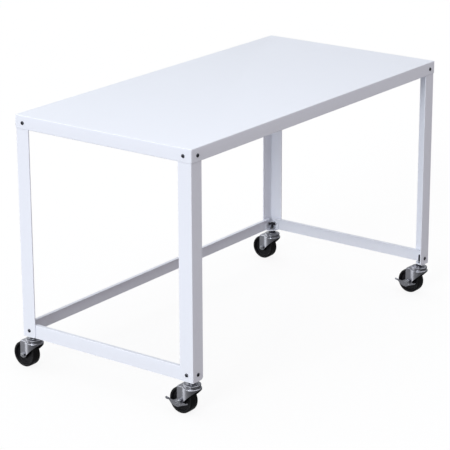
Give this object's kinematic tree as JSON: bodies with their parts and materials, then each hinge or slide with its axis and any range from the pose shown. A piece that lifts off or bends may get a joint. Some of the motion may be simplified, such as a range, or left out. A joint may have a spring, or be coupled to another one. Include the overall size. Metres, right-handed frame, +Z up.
{
  "type": "sewing table",
  "caption": "White steel sewing table: flat pan top on four angle legs with low rails at three sides, rolling on swivel casters, the front ones with brakes.",
  "frame": {"origin": "on the floor, under the centre of the whole table's box; the casters trail to the rear, so the centre of the top lies 19.45 mm in front of the origin, at Y = -0.01945", "axes": "+Z up; X along the length, +X to the right for a person who sits at the open side; -Y is the open side without a low rail, +Y is the side with the long rear rail"},
  "size_m": [1.2275, 0.6596, 0.7493],
  "materials": {
    "white_enamel": "smooth white powder coat",
    "dark_zinc": "dark zinc plate",
    "caster_steel": "zinc plated pressed steel",
    "bright_zinc": "bright zinc plate",
    "lever_steel": "zinc plated stamped steel",
    "ball_steel": "polished bearing steel",
    "wheel_black": "hard black rubber"
  },
  "bodies": {
    "frame": {"top_panel": "white_enamel", "top_stiffener": "white_enamel", "leg_front_left": "white_enamel", "leg_front_right": "white_enamel", "leg_rear_right": "white_enamel", "leg_rear_left": "white_enamel", "rail_left": "white_enamel", "rail_right": "white_enamel", "rail_rear": "white_enamel", "bracket_front_left": "white_enamel", "bracket_front_right": "white_enamel", "bracket_rear_right": "white_enamel", "bracket_rear_left": "white_enamel", "top_screws": "dark_zinc", "top_nuts": "bright_zinc", "foot_screws": "dark_zinc", "foot_nuts": "bright_zinc", "stem_nuts": "bright_zinc", "caster_stem_front_left": "dark_zinc", "caster_stem_front_right": "dark_zinc", "caster_stem_rear_right": "dark_zinc", "caster_stem_rear_left": "dark_zinc", "race_cap_front_left": "caster_steel", "race_cap_front_right": "caster_steel", "race_cap_rear_right": "caster_steel", "race_cap_rear_left": "caster_steel", "race_washers": "bright_zinc"},
    "swivel_front_left": {"fork_front_left": "caster_steel", "axle_bolt_front_left": "bright_zinc", "axle_nut_front_left": "bright_zinc", "wheel_bushing_front_left": "caster_steel", "race_balls_front_left": "ball_steel"},
    "rolling_front_left": {"wheel_front_left": "wheel_black"},
    "brake_front_left": {"brake_lever_front_left": "lever_steel"},
    "swivel_front_right": {"fork_front_right": "caster_steel", "axle_bolt_front_right": "bright_zinc", "axle_nut_front_right": "bright_zinc", "wheel_bushing_front_right": "caster_steel", "race_balls_front_right": "ball_steel"},
    "rolling_front_right": {"wheel_front_right": "wheel_black"},
    "brake_front_right": {"brake_lever_front_right": "lever_steel"},
    "swivel_rear_right": {"fork_rear_right": "caster_steel", "axle_bolt_rear_right": "bright_zinc", "axle_nut_rear_right": "bright_zinc", "wheel_bushing_rear_right": "caster_steel", "race_balls_rear_right": "ball_steel"},
    "rolling_rear_right": {"wheel_rear_right": "wheel_black"},
    "swivel_rear_left": {"fork_rear_left": "caster_steel", "axle_bolt_rear_left": "bright_zinc", "axle_nut_rear_left": "bright_zinc", "wheel_bushing_rear_left": "caster_steel", "race_balls_rear_left": "ball_steel"},
    "rolling_rear_left": {"wheel_rear_left": "wheel_black"}
  },
  "joints": [
    {"name": "swivel_turn_front_left", "type": "hinge", "parent": "frame", "child": "swivel_front_left", "pos_m": [-0.587, -0.30315, 0.0795], "axis": [0, 0, 1], "continuous": true},
    {"name": "wheel_spin_front_left", "type": "hinge", "parent": "swivel_front_left", "child": "rolling_front_left", "pos_m": [-0.587, -0.27415, 0.0381], "axis": [1, 0, 0], "continuous": true},
    {"name": "brake_lift_front_left", "type": "hinge", "parent": "swivel_front_left", "child": "brake_front_left", "pos_m": [-0.587, -0.27415, 0.0381], "axis": [1, 0, 0], "range_deg": [0, 20]},
    {"name": "swivel_turn_front_right", "type": "hinge", "parent": "frame", "child": "swivel_front_right", "pos_m": [0.587, -0.30315, 0.0795], "axis": [0, 0, 1], "continuous": true},
    {"name": "wheel_spin_front_right", "type": "hinge", "parent": "swivel_front_right", "child": "rolling_front_right", "pos_m": [0.587, -0.27415, 0.0381], "axis": [1, 0, 0], "continuous": true},
    {"name": "brake_lift_front_right", "type": "hinge", "parent": "swivel_front_right", "child": "brake_front_right", "pos_m": [0.587, -0.27415, 0.0381], "axis": [1, 0, 0], "range_deg": [0, 20]},
    {"name": "swivel_turn_rear_right", "type": "hinge", "parent": "frame", "child": "swivel_rear_right", "pos_m": [0.587, 0.26275, 0.0795], "axis": [0, 0, 1], "continuous": true},
    {"name": "wheel_spin_rear_right", "type": "hinge", "parent": "swivel_rear_right", "child": "rolling_rear_right", "pos_m": [0.587, 0.29175, 0.0381], "axis": [1, 0, 0], "continuous": true},
    {"name": "swivel_turn_rear_left", "type": "hinge", "parent": "frame", "child": "swivel_rear_left", "pos_m": [-0.587, 0.26275, 0.0795], "axis": [0, 0, 1], "continuous": true},
    {"name": "wheel_spin_rear_left", "type": "hinge", "parent": "swivel_rear_left", "child": "rolling_rear_left", "pos_m": [-0.587, 0.29175, 0.0381], "axis": [1, 0, 0], "continuous": true}
  ]
}
